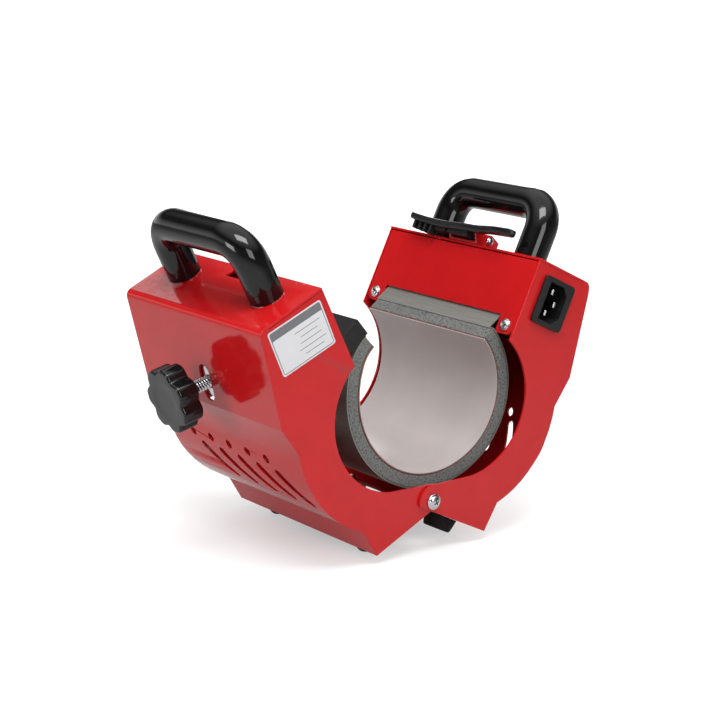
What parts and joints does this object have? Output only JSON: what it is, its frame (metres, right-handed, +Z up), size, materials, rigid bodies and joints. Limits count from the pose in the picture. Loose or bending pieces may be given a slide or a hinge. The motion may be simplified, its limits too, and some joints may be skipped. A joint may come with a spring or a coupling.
{
  "type": "mug heat press",
  "caption": "Clamshell heat press for mugs, standing open: two hinged sheet-metal halves with tube handles, a springy ring-shaped heater blanket and a knob-driven clamp screw.",
  "frame": {"origin": "middle of the underside of the bounding box, with the press standing open on its feet", "axes": "+X from the knob's half to the inlet's half, +Y along the hinge away from the viewer of the picture, +Z up"},
  "size_m": [0.2772, 0.1578, 0.2113],
  "materials": {
    "red_paint": "semi-gloss red powder coat",
    "gloss_black": "polished black",
    "matt_black": "fine moulded black",
    "rubber": "matt black rubber",
    "zinc_plate": "bright plated steel",
    "band_steel": "rolled steel strip",
    "grey_foam": "open silicone sponge",
    "mat_brown": "silicone rubber",
    "liner_grey": "coated glass cloth",
    "window_dark": "smoked clear plastic",
    "button_grey": "matt grey",
    "board_green": "lacquered laminate",
    "lead_white": "silicone sleeve"
  },
  "bodies": {
    "right_half": {"right_shell": "red_paint", "right_cover": "red_paint", "right_cover_screw_front": "zinc_plate", "right_cover_screw_back": "zinc_plate", "right_handle": "gloss_black", "right_handle_bolt_front": "zinc_plate", "right_handle_bolt_back": "zinc_plate", "right_foot_front": "rubber", "right_foot_back": "rubber", "right_foot_screw_front": "zinc_plate", "right_foot_screw_back": "zinc_plate", "mains_inlet": "matt_black", "inlet_pin_live": "zinc_plate", "inlet_pin_neutral": "zinc_plate", "inlet_pin_earth": "zinc_plate", "control_bezel": "matt_black", "display_window": "window_dark", "power_switch_body": "matt_black", "control_board": "board_green", "heater_relay": "matt_black", "heater_lead": "lead_white", "latch_bracket": "red_paint", "latch_bolt": "zinc_plate", "latch_nut": "zinc_plate", "latch_spring": "zinc_plate", "hinge_bolt_front": "zinc_plate", "hinge_bolt_back": "zinc_plate", "hinge_nut_front": "zinc_plate", "hinge_nut_back": "zinc_plate", "heater_band": "band_steel", "foam_pad": "grey_foam", "heating_mat": "mat_brown", "liner_sheet": "liner_grey"},
    "left_half": {"left_shell": "red_paint", "left_cover": "red_paint", "left_cover_screw_front": "zinc_plate", "left_cover_screw_back": "zinc_plate", "left_handle": "gloss_black", "left_handle_bolt_front": "zinc_plate", "left_handle_bolt_back": "zinc_plate", "left_foot_front": "rubber", "left_foot_back": "rubber", "left_foot_screw_front": "zinc_plate", "left_foot_screw_back": "zinc_plate", "screw_nut_block": "zinc_plate", "nut_channel": "band_steel"},
    "clamp_bar": {"clamp_bar": "matt_black"},
    "pressure_knob": {"pressure_knob": "gloss_black", "pressure_rod": "zinc_plate", "rod_clip": "zinc_plate"},
    "latch_lever": {"latch_lever": "matt_black"},
    "set_button": {"set_button": "button_grey"},
    "up_button": {"up_button": "button_grey"},
    "down_button": {"down_button": "button_grey"},
    "power_rocker": {"power_rocker": "gloss_black"}
  },
  "joints": [
    {"name": "clamshell_hinge", "type": "hinge", "parent": "right_half", "child": "left_half", "pos_m": [0.01018, 0, 0.03287], "axis": [0, 1, 0], "range_deg": [0, 46], "deforming": ["heater_band", "foam_pad", "heating_mat", "liner_sheet"]},
    {"name": "clamp_bar_slide", "type": "slide", "parent": "left_half", "child": "clamp_bar", "axis": [0.9674, 0, 0.2533], "range_m": [-0.0025, 0.0025]},
    {"name": "pressure_knob_turn", "type": "hinge", "parent": "clamp_bar", "child": "pressure_knob", "pos_m": [-0.10474, 0, 0.10922], "axis": [0.9674, 0, 0.2533], "range_deg": [-725, 725]},
    {"name": "latch_lever_lift", "type": "hinge", "parent": "right_half", "child": "latch_lever", "pos_m": [0.10457, 0, 0.17575], "axis": [0, 1, 0], "range_deg": [0, 55], "stiffness_Nm_per_rad": 0.05, "springref_deg": -17.19},
    {"name": "set_button_press", "type": "slide", "parent": "right_half", "child": "set_button", "axis": [-0.9674, 0, 0.2533], "range_m": [0, 0.001], "stiffness_N_per_m": 400, "springref_m": -0.0005},
    {"name": "up_button_press", "type": "slide", "parent": "right_half", "child": "up_button", "axis": [-0.9674, 0, 0.2533], "range_m": [0, 0.001], "stiffness_N_per_m": 400, "springref_m": -0.0005},
    {"name": "down_button_press", "type": "slide", "parent": "right_half", "child": "down_button", "axis": [-0.9674, 0, 0.2533], "range_m": [0, 0.001], "stiffness_N_per_m": 400, "springref_m": -0.0005},
    {"name": "power_rocker_tilt", "type": "hinge", "parent": "right_half", "child": "power_rocker", "pos_m": [0.12769, -0.052, 0.12467], "axis": [0, 1, 0], "range_deg": [-16, 0]}
  ],
  "couplings": [
    {"joint": "pressure_knob_turn", "follows": "clamp_bar_slide", "rad_per_m": 5026.5}
  ]
}
